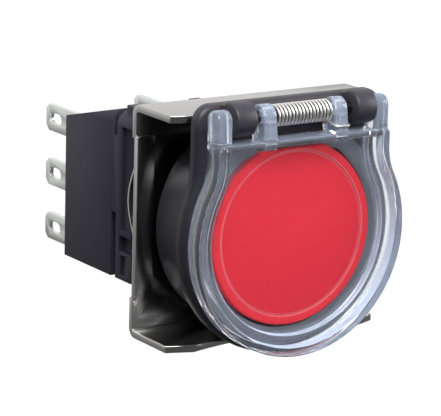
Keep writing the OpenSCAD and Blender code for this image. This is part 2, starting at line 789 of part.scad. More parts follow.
// A terminal: the tab behind the cover and an arm inside. The top and bottom arms end in a foot
// with a contact tip, the middle one is the rail that the blade wipes along.
module terminal(row) {
    z = tab_z + row * tab_pitch;
    x0 = -tab_x - tab_t / 2;
    x1 = -tab_x + tab_t / 2;
    tip_x = -blade_x - blade_w / 2;
    // the top tip lies in front of the blade, the bottom tip behind it at full travel
    tip_face = row > 0 ? blade_y - contact_gap : blade_y + blade_t + travel + contact_gap;
    foot_y = row > 0 ? tip_face - tip_h - tab_t : tip_face + tip_h;
    arm_y = row == 0 ? unit_joint - 0.4 : foot_y;
    color("#c4ccc4")
        difference() {
            union() {
                along_x(x0, x1)
                    translate([0, z]) tab_outline();
                box(x0, x1, arm_y, terminal_inner, z - 0.6, z + 0.6);
                if (row != 0) {
                    box(x0, tip_x + tip_r, foot_y, foot_y + tab_t, z - 0.6, z + 0.6);
                    translate([tip_x, 0, z])
                        rod_y(tip_r, min(tip_face, foot_y), max(tip_face, foot_y + tab_t), $fn = 32);
                }
            }
            tab_hole(z);
        }
}

// Blade of a terminal tab with clipped corners.
module tab_outline() {
    half = tab_w / 2;
    tip = unit_rear + tab_len;
    polygon([[terminal_inner - 0.6, -half], [tip - tab_clip, -half], [tip, tab_clip - half],
        [tip, half - tab_clip], [tip - tab_clip, half], [terminal_inner - 0.6, half]]);
}

// Oblong hole in the tab.
module tab_hole(z) {
    far = unit_rear + tab_len - tab_hole_end - tab_hole_r;
    near = far - tab_hole_len + 2 * tab_hole_r;
    for (y = [near, far])
        translate([-tab_x, y, z])
            rotate([0, 90, 0])
                cylinder(r = tab_hole_r, h = 2 * tab_t, center = true, $fn = 32);
    box(-tab_x - tab_t, -tab_x + tab_t, near, far, z - tab_hole_r, z + tab_hole_r);
}

module left_base() unit_base(-slider_stem_x);
module right_base() at_right() unit_base(slider_stem_x - unit_pitch);
module left_cover() unit_cover(-tab_x);
module right_cover() at_right() unit_cover(tab_x - unit_pitch);
module left_slider() slider_body();
module right_slider() mirror([1, 0, 0]) slider_body();
module left_blade() blade_body();
module right_blade() mirror([1, 0, 0]) blade_body();
module left_slider_spring() slider_spring_body();
module right_slider_spring() mirror([1, 0, 0]) slider_spring_body();
module left_terminal_top() terminal(1);
module left_terminal_middle() terminal(0);
module left_terminal_bottom() terminal(-1);
module right_terminal_top() mirror([1, 0, 0]) terminal(1);
module right_terminal_middle() mirror([1, 0, 0]) terminal(0);
module right_terminal_bottom() mirror([1, 0, 0]) terminal(-1);

front_bezel();
clear_lid();
hinge_pin();
lid_spring();
button_cap();
button_face();
plunger();
pusher_plate();
plunger_clip();
return_spring();
operator_body();
panel_gasket();
mounting_bracket();
bow_spring();
adapter();
left_base();
right_base();
left_cover();
right_cover();
left_slider();
right_slider();
left_blade();
right_blade();
left_slider_spring();
right_slider_spring();
left_terminal_top();
left_terminal_middle();
left_terminal_bottom();
right_terminal_top();
right_terminal_middle();
right_terminal_bottom();
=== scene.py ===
"""Looks of a panel push button with a hinged clear cover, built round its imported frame.

Sizes are in millimetres until a mesh is made. +X is right and +Z up as seen from the front,
the front faces -Y, and the origin lies on the button's axis in the flange's seating face.
"""

import json
import logging
import math
from contextlib import contextmanager
from dataclasses import dataclass, field
from enum import Enum
from typing import Iterator, Sequence

import bmesh
import bpy
from mathutils import Euler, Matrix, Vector

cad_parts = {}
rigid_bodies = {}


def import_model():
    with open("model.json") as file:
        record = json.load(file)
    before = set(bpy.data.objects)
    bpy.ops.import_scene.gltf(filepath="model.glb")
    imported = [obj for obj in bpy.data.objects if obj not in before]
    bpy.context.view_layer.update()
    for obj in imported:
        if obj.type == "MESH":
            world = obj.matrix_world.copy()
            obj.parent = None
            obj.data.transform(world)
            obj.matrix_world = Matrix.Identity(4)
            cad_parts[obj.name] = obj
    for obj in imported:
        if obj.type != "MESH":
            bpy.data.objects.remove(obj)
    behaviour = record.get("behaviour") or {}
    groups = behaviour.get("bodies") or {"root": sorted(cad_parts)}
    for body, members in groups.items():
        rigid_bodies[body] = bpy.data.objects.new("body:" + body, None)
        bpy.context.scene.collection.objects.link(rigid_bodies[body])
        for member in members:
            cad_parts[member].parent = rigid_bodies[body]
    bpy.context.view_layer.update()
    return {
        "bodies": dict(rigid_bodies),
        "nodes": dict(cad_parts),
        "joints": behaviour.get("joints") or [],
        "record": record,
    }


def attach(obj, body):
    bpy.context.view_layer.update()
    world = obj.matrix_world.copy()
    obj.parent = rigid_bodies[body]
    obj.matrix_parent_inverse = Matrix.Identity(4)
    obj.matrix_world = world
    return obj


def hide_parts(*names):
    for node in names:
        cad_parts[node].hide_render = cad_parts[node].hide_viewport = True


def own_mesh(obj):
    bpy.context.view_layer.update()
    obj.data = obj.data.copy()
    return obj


MM = 0.001
LOG = logging.getLogger("panel_button")

Point2 = tuple[float, float]
Colour = tuple[float, float, float]


class Body(Enum):
    """The CAD bodies that pieces ride on."""

    SWITCH = "switch_body"
    LID = "lid"
    BUTTON = "button"
    LEFT_CONTACT = "left_contact"
    RIGHT_CONTACT = "right_contact"
    BRACKET = "bracket"


class Axis(Enum):
    """A direction in the part's frame."""

    X = 0
    Y = 1
    Z = 2


# ---------------------------------------------------------------------------
# Shader nodes
# ---------------------------------------------------------------------------


class Value:
    """A number that varies over a surface, written as an ordinary expression."""

    def __init__(self, paint: "Paint", socket: bpy.types.NodeSocket) -> None:
        """Wraps an output socket of one material."""
        self.paint = paint
        self.socket = socket

    def _math(self, operation: str, *others: "Value | float", first: bool = True) -> "Value":
        """Adds a Math node.

        Args:
            operation: the Math node's operation.
            others: the other operands.
            first: whether this value is the first operand.

        Returns:
            The node's result.
        """
        operands = [self, *others] if first else [*others, self]
        return self.paint.math(operation, *operands)

    def __add__(self, other: "Value | float") -> "Value":
        """self + other."""
        return self._math("ADD", other)

    __radd__ = __add__

    def __mul__(self, other: "Value | float") -> "Value":
        """self * other."""
        return self._math("MULTIPLY", other)

    __rmul__ = __mul__

    def __sub__(self, other: "Value | float") -> "Value":
        """self - other."""
        return self._math("SUBTRACT", other)

    def __rsub__(self, other: "Value | float") -> "Value":
        """other - self."""
        return self._math("SUBTRACT", other, first=False)

    def __truediv__(self, other: "Value | float") -> "Value":
        """self / other."""
        return self._math("DIVIDE", other)

    def __abs__(self) -> "Value":
        """Distance from zero."""
        return self._math("ABSOLUTE")

    def ramp(self, low: float, high: float) -> "Value":
        """Rises smoothly from 0 at low to 1 at high; falls if low is the larger.

        Args:
            low: value at which the result is 0.
            high: value at which the result is 1.

        Returns:
            A value from 0 to 1.
        """
        if low > high:
            return 1 - self.ramp(high, low)
        out = self.paint.node(
            "ShaderNodeMapRange",
            {"interpolation_type": "SMOOTHSTEP"},
            {"Value": self, "From Min": low, "From Max": high},
        )
        return Value(self.paint, out.outputs["Result"])


class Paint:
    """Builds one material out of nodes."""

    def __init__(self, name: str) -> None:
        """Starts an empty material with a Principled shader."""
        self.material = bpy.data.materials.new(name)
        self.material.use_nodes = True
        self.tree = self.material.node_tree
        self.tree.nodes.clear()
        self.shader = self.node("ShaderNodeBsdfPrincipled")
        self.output = self.node(
            "ShaderNodeOutputMaterial", links={"Surface": self.shader.outputs[0]}
        )
        self.place = self.node("ShaderNodeTexCoord").outputs["Object"]

    def node(
        self,
        kind: str,
        settings: dict[str, object] | None = None,
        links: dict[str | int, object] | None = None,
    ) -> bpy.types.Node:
        """Adds a node.

        Args:
            kind: the node's type.
            settings: the node's own settings, set before its sockets.
            links: values, sockets or expressions for its inputs.

        Returns:
            The node.
        """
        made = self.tree.nodes.new(kind)
        for key, setting in (settings or {}).items():
            setattr(made, key, setting)
        for key, source in (links or {}).items():
            self.feed(made.inputs[key], source)
        return made

    def feed(self, target: bpy.types.NodeSocket, source: object) -> None:
        """Links a socket or expression to an input, or sets a constant on it.

        Args:
            target: the input.
            source: an expression, an output socket or a constant.
        """
        if isinstance(source, Value):
            source = source.socket
        if isinstance(source, bpy.types.NodeSocket):
            self.tree.links.new(source, target)
        else:
            target.default_value = source

    def math(self, operation: str, *operands: "Value | float") -> Value:
        """Adds a Math node.

        Args:
            operation: its operation.
            operands: its inputs in order.

        Returns:
            Its result.
        """
        made = self.node(
            "ShaderNodeMath", {"operation": operation}, dict(enumerate(operands))
        )
        return Value(self, made.outputs[0])

    def axis(self, axis: Axis) -> Value:
        """One coordinate of the surface point in millimetres."""
        split = self.node("ShaderNodeSeparateXYZ", links={0: self.place})
        return Value(self, split.outputs[axis.value]) * (1 / MM)

    def noise(
        self, size: float, detail: float = 2.0, stretch: tuple[float, float, float] = (1, 1, 1)
    ) -> Value:
        """Cloudy noise.

        Args:
            size: width of its features in millimetres.
            detail: number of finer layers.
            stretch: how much longer the features are along each axis.

        Returns:
            A value from 0 to 1.
        """
        scale = [1 / (MM * size * s) for s in stretch]
        mapped = self.node("ShaderNodeMapping", links={"Vector": self.place, "Scale": scale})
        made = self.node(
            "ShaderNodeTexNoise",
            links={"Vector": mapped.outputs[0], "Scale": 1.0, "Detail": detail},
        )
        return Value(self, made.outputs["Fac"])

    def blend(self, factor: Value, low: object, high: object) -> bpy.types.NodeSocket:
        """Mixes two colours.

        Args:
            factor: 0 gives low and 1 gives high.
            low: a colour or a colour socket.
            high: a colour or a colour socket.

        Returns:
            The colour socket.
        """
        made = self.node(
            "ShaderNodeMix", {"data_type": "RGBA"}, {0: factor, 6: opaque(low), 7: opaque(high)}
        )
        return made.outputs[2]

    def bump(self, height: Value, depth: float, strength: float = 1.0) -> None:
        """Roughens the surface.

        Args:
            height: pattern from 0 to 1.
            depth: height of the pattern in millimetres.
            strength: how strongly it shows.
        """
        made = self.node(
            "ShaderNodeBump", links={"Height": height, "Distance": depth * MM, "Strength": strength}
        )
        self.feed(self.shader.inputs["Normal"], made.outputs[0])

    def set(self, **sockets: object) -> None:
        """Feeds the shader's sockets, named in lower case with underscores."""
        for name, source in sockets.items():
            label = name.replace("_", " ").title().replace("Ior", "IOR")
            self.feed(self.shader.inputs[label], source)

    def cover(self, other: bpy.types.Node, factor: "Value | float") -> None:
        """Mixes another shader over this material's own.

        Args:
            other: the other shader's node.
            factor: how much of it shows, from 0 to 1.
        """
        mixed = self.node(
            "ShaderNodeMixShader", links={0: factor, 1: self.shader.outputs[0], 2: other.outputs[0]}
        )
        self.feed(self.output.inputs["Surface"], mixed.outputs[0])


def shade(colour: Colour, factor: float) -> Colour:
    """A colour made darker or lighter."""
    return tuple(part * factor for part in colour)


def opaque(colour: object) -> object:
    """A three-part colour with full alpha; anything else unchanged."""
    return (*colour, 1.0) if isinstance(colour, tuple) and len(colour) == 3 else colour


# ---------------------------------------------------------------------------
# Finishes
# ---------------------------------------------------------------------------


# Painted highlight: the pale grey that rounded edges take on, as if they caught the light.
EDGE_HIGHLIGHT_GREY: Colour = (0.35, 0.35, 0.38)
# Painted highlight: a fine pale red line where the button's sharp edge catches the light, and how
# it fades.
RING_HIGHLIGHT_RED: Colour = (0.90, 0.16, 0.19)
RING_HIGHLIGHT_FADE: Point2 = (0.13, 0.05)


@dataclass(frozen=True)
class MouldedPlastic:
    """Opaque moulded plastic with a fine grain and faint mottling.

    edge_light is how much paler the colour gets on rounded edges, a painted highlight where they
    catch the light, and ring is the radius of a fine pale line round the button's axis, a painted
    highlight where a sharp edge catches the light.
    """

    name: str
    colour: Colour
    roughness: float = 0.42
    grain: float = 0.004
    grain_size: float = 0.12
    mottle: float = 0.12
    edge_light: float = 0.0
    sheen: float = 0.5
    # Radius of a painted highlight line round the button's axis; 0 leaves it out.
    ring: float = 0.0

    def material(self) -> bpy.types.Material:
        """Builds the material."""
        paint = Paint(self.name)
        cloud = paint.noise(2.5, 3.0)
        tone = paint.blend(
            cloud, shade(self.colour, 1 - self.mottle), shade(self.colour, 1 + self.mottle)
        )
        # Painted highlight: edges found by their pointiness are made paler, as if they caught the
        # light.
        if self.edge_light:
            pointed = paint.node("ShaderNodeNewGeometry").outputs["Pointiness"]
            edge_highlight = Value(paint, pointed).ramp(0.52, 0.62) * self.edge_light
            tone = paint.blend(edge_highlight, tone, EDGE_HIGHLIGHT_GREY)
        # Painted highlight: a pale red line at radius ring, where a sharp edge catches the light.
        if self.ring:
            x, z = paint.axis(Axis.X), paint.axis(Axis.Z)
            off = abs(paint.math("SQRT", x * x + z * z) - self.ring)
            tone = paint.blend(off.ramp(*RING_HIGHLIGHT_FADE), tone, RING_HIGHLIGHT_RED)
        paint.set(
            base_color=tone,
            roughness=self.roughness + (paint.noise(0.8, 2.0) - 0.5) * 0.12,
            specular_ior_level=self.sheen,
        )
        paint.bump(paint.noise(self.grain_size, 2.0), self.grain)
        return paint.material


@dataclass(frozen=True)
class BrushedSteel:
    """Steel or plated metal with fine brush lines along one axis."""

    name: str
    colour: Colour
    roughness: float
    along: Axis = Axis.Z
    line: float = 0.05
    depth: float = 0.002
    variation: float = 0.12

    def material(self) -> bpy.types.Material:
        """Builds the material."""
        paint = Paint(self.name)
        stretch = tuple(60.0 if axis is self.along else 1.0 for axis in Axis)
        lines = paint.noise(self.line, 2.0, stretch)
        cloud = paint.noise(3.0, 3.0)
        streaks = lines * 0.6 + cloud * 0.4
        paint.set(
            base_color=paint.blend(streaks, shade(self.colour, 1 - self.variation), self.colour),
            metallic=1.0,
            roughness=self.roughness + (lines - 0.5) * 0.15 + (cloud - 0.5) * 0.08,
        )
        paint.bump(lines, self.depth)
        return paint.material


@dataclass(frozen=True)
class ClearPlastic:
    """Polished clear plastic that turns milky in its thick hinge parts, with a painted reflection
    of milky white on the walls round the window.

    The window stays clear. Pairs of lengths are where a zone's haze starts and where it is full.
    """

    name: str
    tint: Colour
    haze_and_reflection_colour: Colour
    haze: float
    lug_haze: float
    rim_haze: float
    # Strength of the painted reflection on the walls round the window.
    painted_wall_reflection: float
    bar_height: Point2 = (9.3, 9.8)
    ear_height: Point2 = (8.5, 11.5)
    ear_side: Point2 = (8.4, 8.9)
    lug_side: Point2 = (5.6, 5.0)
    rim_radius: Point2 = (9.3, 9.6)
    wall_depth: Point2 = (-2.3, -2.42)
    wall_slope: Point2 = (-0.45, -0.65)
    wall_height: Point2 = (9.6, 9.3)
    ior: float = 1.49
    roughness: float = 0.03

    def material(self) -> bpy.types.Material:
        """Builds the material."""
        paint = Paint(self.name)
        wave = paint.noise(4.0, 1.0)
        paint.set(
            base_color=paint.blend(wave, self.tint, tuple(min(1.0, c * 1.02) for c in self.tint)),
            roughness=self.roughness,
            ior=self.ior,
            transmission_weight=1.0,
        )
        paint.bump(wave, 0.004)
        # This milky coat gives both the real haze of the thick parts and the painted reflection on
        # the walls.
        haze_and_reflection = paint.node(
            "ShaderNodeBsdfPrincipled",
            links={"Base Color": opaque(self.haze_and_reflection_colour), "Roughness": 0.35},
        )
        x, z = paint.axis(Axis.X), paint.axis(Axis.Z)
        on_ears = abs(x).ramp(*self.ear_side)
        high = z.ramp(*self.bar_height) * (1 - on_ears) + z.ramp(*self.ear_height) * on_ears
        outside = paint.math("SQRT", x * x + z * z).ramp(*self.rim_radius) * (1 - high)
        cloud = 0.75 + 0.5 * paint.noise(1.2, 2.0)
        lugs = abs(x).ramp(*self.lug_side) * self.lug_haze + self.haze
        # Painted reflection: milky white on the walls round the window, standing in for the bright
        # lines reflected there.
        walls = self.inner_walls(paint, x, z) * self.painted_wall_reflection
        paint.cover(haze_and_reflection, (high * lugs + outside * self.rim_haze + walls) * cloud)
        return paint.material

    def inner_walls(self, paint: Paint, x: Value, z: Value) -> Value:
        """The steep walls round the window that face the button's axis, which carry a painted
        reflection.

        Args:
            paint: the material.
            x: distance to the right.
            z: height.

        Returns:
            1 on those walls, else 0.
        """
        normal = paint.node("ShaderNodeTexCoord").outputs["Normal"]
        split = paint.node("ShaderNodeSeparateXYZ", links={0: normal})
        across, up = Value(paint, split.outputs["X"]), Value(paint, split.outputs["Z"])
        inward = (across * x + up * z) / paint.math("SQRT", x * x + z * z)
        in_front = paint.axis(Axis.Y).ramp(*self.wall_depth)
        return inward.ramp(*self.wall_slope) * in_front * z.ramp(*self.wall_height)


@dataclass(frozen=True)
class FacedPlastic:
    """Black moulded plastic whose front face carries a painted reflection, grey inside a circle.

    The painted grey lies on the face at front, within radius of the button's axis and below top.
    Over a span of heights near the top the black turns into a paler colour, a painted highlight on
    the neck and the knuckles.
    """

    name: str
    colour: Colour
    # Painted reflection: the grey of the front face inside the circle.
    panel: Colour
    front: float
    radius: float
    top: float
    # Painted highlight: the paler colour of the neck and knuckle tops, and the heights over which
    # it comes in.
    top_highlight: Colour = (0.042, 0.040, 0.050)
    top_highlight_height: Point2 = (10.45, 11.85)
    roughness: float = 0.42
    sheen: float = 0.5

    def material(self) -> bpy.types.Material:
        """Builds the material."""
        paint = Paint(self.name)
        x, y, z = (paint.axis(axis) for axis in Axis)
        distance = paint.math("SQRT", x * x + z * z)
        # Painted reflection: grey on the front face, inside the circle and below the top.
        on_face = y.ramp(self.front + 0.06, self.front + 0.03)
        within = distance.ramp(self.radius + 0.04, self.radius - 0.04)
        within = within * z.ramp(self.top, self.top - 0.1)
        cloud = paint.noise(2.5, 3.0)
        dark = paint.blend(cloud, shade(self.colour, 0.85), shade(self.colour, 1.15))
        # Painted highlight: paler towards the top of the neck and the knuckles.
        dark = paint.blend(z.ramp(*self.top_highlight_height), dark, self.top_highlight)
        grey = paint.blend(cloud, shade(self.panel, 0.93), self.panel)
        paint.set(
            base_color=paint.blend(on_face * within, dark, grey),
            roughness=self.roughness + (paint.noise(0.8, 2.0) - 0.5) * 0.12,
            specular_ior_level=self.sheen,
        )
        paint.bump(paint.noise(0.12, 2.0), 0.004)
        return paint.material


# The bezel's grey front face is a painted reflection, and its paler top a painted highlight.
BEZEL_BLACK = FacedPlastic(
    "bezel black", (0.017, 0.016, 0.024), (0.165, 0.178, 0.212), front=-1.2, radius=11.1, top=9.25
)
# edge_light puts painted highlights on the rounded edges of the contact units and the carrier.
UNIT_BLACK = MouldedPlastic(
    "contact unit black", (0.027, 0.025, 0.042), 0.46, 0.005, edge_light=0.06, sheen=0.3
)
CARRIER_BLACK = MouldedPlastic(
    "carrier black", (0.014, 0.014, 0.017), 0.42, edge_light=0.04, sheen=0.3
)
INNER_BLACK = MouldedPlastic("inner black", (0.016, 0.016, 0.018), 0.5, sheen=0.3)
NATURAL_ACETAL = MouldedPlastic("natural acetal", (0.78, 0.76, 0.70), 0.4)
GASKET_RUBBER = MouldedPlastic("gasket rubber", (0.012, 0.012, 0.012), 0.75, 0.006)
# ring puts a painted highlight line on the cap and on the face disc.
CAP_RED = MouldedPlastic(
    "cap red", (0.94, 0.040, 0.062), 0.42, 0.002, mottle=0.03, sheen=0.1, ring=8.18
)
FACE_RED = MouldedPlastic(
    "face red", (0.88, 0.033, 0.058), 0.55, 0.003, mottle=0.04, sheen=0.1, ring=8.05
)
CLEAR = ClearPlastic(
    "clear cover",
    (0.95, 0.97, 1.0),
    (0.60, 0.70, 0.90),
    haze=0.23,
    lug_haze=0.06,
    rim_haze=0.05,
    painted_wall_reflection=0.55,
)
SHEET_STEEL = BrushedSteel("bracket stainless", (0.66, 0.65, 0.64), 0.20, Axis.Z)
STRIP_STEEL = BrushedSteel("spring strip", (0.80, 0.80, 0.78), 0.22, Axis.X)
WIRE_STEEL = BrushedSteel("spring wire", (1.0, 0.99, 0.95), 0.42, Axis.X, 0.03, 0.0005)
PIN_STEEL = BrushedSteel("hinge pin", (0.10, 0.10, 0.11), 0.4, Axis.X)
TINNED_BRASS = BrushedSteel(
    "tinned terminal", (0.95, 0.98, 0.95), 0.40, Axis.Y, 0.08, 0.001, 0.08
)
CONTACT_BRONZE = BrushedSteel("contact bronze", (0.75, 0.47, 0.25), 0.3, Axis.Z)


# ---------------------------------------------------------------------------
# Modelling
# ---------------------------------------------------------------------------


def deselect() -> None:
    """Leaves no object selected."""
    if bpy.context.mode != "OBJECT":
        bpy.ops.object.mode_set(mode="OBJECT")
    bpy.ops.object.select_all(action="DESELECT")


def take(piece: bpy.types.Object) -> None:
    """Makes one object the only selected one and the active one."""
    deselect()
    piece.select_set(True)
    bpy.context.view_layer.objects.active = piece


@contextmanager
def editing(piece: bpy.types.Object) -> Iterator[bmesh.types.BMesh]:
    """Opens an object in edit mode with nothing selected.

    Args:
        piece: the object.

    Yields:
        Its edit mesh, to select parts in.
    """
    take(piece)
    bpy.ops.object.mode_set(mode="EDIT")
    bpy.ops.mesh.select_mode(type="VERT")
    bpy.ops.mesh.select_all(action="DESELECT")
    yield bmesh.from_edit_mesh(piece.data)
    bpy.ops.object.mode_set(mode="OBJECT")


def named(name: str) -> bpy.types.Object:
    """Names the newly added primitive and returns it."""
    piece = bpy.context.active_object
    piece.name = name
    piece.data.name = name
    return piece


def settle(piece: bpy.types.Object, smooth_angle: float = 35.0) -> bpy.types.Object:
    """Puts a piece's place into its mesh and shades it.

    Args:
        piece: the piece.
        smooth_angle: edges flatter than this many degrees are shaded smooth.

    Returns:
        The piece.
    """
    take(piece)
    bpy.ops.object.transform_apply(location=True, rotation=True, scale=True)
    bpy.ops.object.shade_smooth_by_angle(angle=math.radians(smooth_angle))
    return piece


def combine(piece: bpy.types.Object, other: bpy.types.Object, operation: str) -> None:
    """Joins, cuts or intersects two solids and removes the second.

    Args:
        piece: the piece that is kept.
        other: the tool.
        operation: UNION, DIFFERENCE or INTERSECT.
    """
    take(piece)
    modifier = piece.modifiers.new(operation.lower(), "BOOLEAN")
    modifier.operation = operation
    modifier.solver = "EXACT"
    modifier.object = other
    bpy.ops.object.modifier_apply(modifier=modifier.name)
    bpy.data.objects.remove(other)


def soften(piece: bpy.types.Object, width: float, segments: int = 2, angle: float = 40.0) -> None:
    """Rounds every edge sharper than an angle.

    Args:
        piece: the piece.
        width: the rounding's width in millimetres.
        segments: number of faces across it.
        angle: the smallest angle in degrees that is rounded.
    """
    take(piece)
    modifier = piece.modifiers.new("soften", "BEVEL")
    modifier.width = width * MM
    modifier.segments = segments
    modifier.limit_method = "ANGLE"
    modifier.angle_limit = math.radians(angle)
    modifier.miter_outer = "MITER_ARC"
    bpy.ops.object.modifier_apply(modifier=modifier.name)


def arc(centre: Point2, radius: float, start: float, end: float, steps: int) -> list[Point2]:
    """Points along an arc.

    Args:
        centre: its centre.
        radius: its radius.
        start: its first angle in degrees.
        end: its last angle in degrees.
        steps: number of steps.

    Returns:
        steps + 1 points.
    """
    turns = [math.radians(start + (end - start) * i / steps) for i in range(steps + 1)]
    return [(centre[0] + radius * math.cos(t), centre[1] + radius * math.sin(t)) for t in turns]


@dataclass(frozen=True)
class NeckOutline:
    """A round outline with a neck on top, joined by a hollow fillet on each side."""

    radius: float
    half: float
    top: float
    corner: float
    fillet: float

    def inset(self, distance: float, top: float | None = None) -> "NeckOutline":
        """The same outline moved inwards.

        Args:
            distance: how far.
            top: its own top edge, if that doesn't move by the same distance.

        Returns:
            The inner outline.
        """
        return NeckOutline(
            self.radius - distance,
            self.half - distance,
            self.top - distance if top is None else top,
            max(0.05, self.corner - distance),
            self.fillet + distance,
        )

    def points(self) -> list[Point2]:
        """Points in X and Z, the same number and order for every such outline."""
        reach, half = self.radius + self.fillet, self.half + self.fillet
        height = math.sqrt(reach * reach - half * half)
        turn = math.degrees(math.atan2(height, half))
        right = (
            arc((0, 0), self.radius, -90, turn, 56)
            + arc((half, height), self.fillet, 180 + turn, 180, 14)[1:]
            + arc((self.half - self.corner, self.top - self.corner), self.corner, 0, 90, 8)
        )
        return right + [(-x, z) for x, z in reversed(right[1:])]


@dataclass(frozen=True)
class Section:
    """One closed outline of a loft, at a distance behind the panel face."""

    points: list[Point2]
    y: float


def loft(name: str, sections: Sequence[Section], closed: bool = False) -> bpy.types.Object:
    """Makes a solid that passes through a row of outlines.

    Args:
        name: the piece's name.
        sections: outlines with the same number of points, in order.
        closed: joins the last outline to the first, else both ends are capped.

    Returns:
        The piece.
    """
    count = len(sections[0].points)
    deselect()
    bpy.ops.mesh.primitive_circle_add(vertices=count, radius=MM)
    piece = named(name)
    with editing(piece) as mesh:
        slot = mesh.verts.layers.int.new("slot")
        mesh.verts.ensure_lookup_table()
        for i, vert in enumerate(mesh.verts):
            vert[slot] = i
        rings = [*sections, sections[0]] if closed else sections
        for number, section in enumerate(rings):
            if number:
                bpy.ops.mesh.extrude_edges_move()
            else:
                bpy.ops.mesh.select_all(action="SELECT")
            mesh = bmesh.from_edit_mesh(piece.data)
            slot = mesh.verts.layers.int["slot"]
            for vert in mesh.verts:
                if vert.select:
                    x, z = section.points[vert[slot]]
                    vert.co = Vector((x, section.y, z)) * MM
            bmesh.update_edit_mesh(piece.data)
            if not closed and number in (0, len(sections) - 1):
                bpy.ops.mesh.edge_face_add()
                if number == 0:
                    reselect_rim(piece)
        bpy.ops.mesh.select_all(action="SELECT")
        bpy.ops.mesh.remove_doubles(threshold=1e-6)
        bpy.ops.mesh.normals_make_consistent(inside=False)
    return settle(piece)


def reselect_rim(piece: bpy.types.Object) -> None:
    """Keeps only the rim's edges selected after its cap was filled."""
    mesh = bmesh.from_edit_mesh(piece.data)
    for face in mesh.faces:
        face.select = False
    for edge in mesh.edges:
        edge.select = True
    for vert in mesh.verts:
        vert.select = True
    bpy.ops.mesh.select_mode(type="EDGE")


def prism(
    name: str, profile: Sequence[Point2], low: float, high: float, edge: float
) -> bpy.types.Object:
    """Extrudes a side view across the part and rounds its edges.

    Args:
        name: the piece's name.
        profile: its side view in Y and Z.
        low: its left face.
        high: its right face.
        edge: width of the rounding on its edges.

    Returns:
        The piece.
    """
    deselect()
    bpy.ops.mesh.primitive_circle_add(vertices=len(profile), radius=MM, fill_type="NGON")
    piece = named(name)
    with editing(piece) as mesh:
        mesh.verts.ensure_lookup_table()
        for vert, (y, z) in zip(mesh.verts, profile):
            vert.co = Vector((low, y, z)) * MM
        bpy.ops.mesh.select_all(action="SELECT")
        bpy.ops.mesh.extrude_region_move(
            TRANSFORM_OT_translate={"value": ((high - low) * MM, 0, 0)}
        )
        bpy.ops.mesh.select_all(action="SELECT")
        bpy.ops.mesh.normals_make_consistent(inside=False)
    soften(piece, edge, 3, 50)
    return piece


def rounding(
    inset: float, y: float, radius: float, start: float, end: float, steps: int
) -> list[Point2]:
    """Inset and depth pairs round a small edge radius.

    Args:
        inset: the radius's centre, as an inset.
        y: the radius's centre, in depth.
        radius: the radius.
        start: first angle, 0 pointing to a larger inset and 90 towards the back.
        end: last angle.
        steps: number of steps.

    Returns:
        Pairs of inset and depth.
    """
    return arc((inset, y), radius, start, end, steps)


# ---------------------------------------------------------------------------
# Sub-assemblies
# ---------------------------------------------------------------------------


@dataclass
class Assembly:
    """A sub-assembly that reports each piece that it makes."""

    made: list[bpy.types.Object] = field(default_factory=list)

    def keep(
        self,
        piece: bpy.types.Object,
        body: Body,
        slot: str,
        finish: bpy.types.Material,
        *nodes: str,
    ) -> bpy.types.Object:
        """Dresses a finished piece and ties it to the frame.

        Args:
            piece: the piece.
            body: the body that it rides on.
            slot: the record's material slot; not used.
            finish: its material.
            nodes: CAD nodes that it stands for.

        Returns:
            The piece.
        """
        piece.data.materials.clear()
        piece.data.materials.append(finish)
        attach(piece, body.value)
        if nodes:
            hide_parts(*nodes)
        self.made.append(piece)
        LOG.info("%s rides on %s, %d faces", piece.name, body.value, len(piece.data.polygons))
        return piece

    def dress(
        self, node: str, body: Body, slot: str, finish: bpy.types.Material, edge: float = 0.08
    ) -> bpy.types.Object:
        """Copies a CAD node, merges its triangles, rounds its edges and replaces it.

        Args:
            node: the CAD node's name.
            body: the body that it rides on.
            slot: the record's material slot.
            finish: its material.
            edge: width of the rounding on its edges in millimetres.

        Returns:
            The dressed copy.
        """
        source = FRAME["nodes"][node]
        piece = source.copy()
        piece.data = source.data.copy()
        piece.parent = None
        piece.name = f"{node}_dressed"
        bpy.context.scene.collection.objects.link(piece)
        with editing(piece):
            bpy.ops.mesh.select_all(action="SELECT")
            bpy.ops.mesh.remove_doubles(threshold=2e-6)
            bpy.ops.mesh.dissolve_limited(angle_limit=math.radians(1.0))
        if edge:
            soften(piece, edge)
        return self.keep(settle(piece), body, slot, finish, node)

    @staticmethod
    def shorten(spring: bpy.types.Object, joint: str, span: Point2, travel: float) -> None:
        """Gives a finished spring a mesh of its own.

        Args:
            spring: the spring.
            joint: the joint that loads it; not used.
            span: depths of its moving end at rest and of its fixed end, in millimetres; not used.
            travel: how far the joint moves the end in millimetres; not used.
        """
        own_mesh(spring)


FRAME: dict[str, dict] = {}


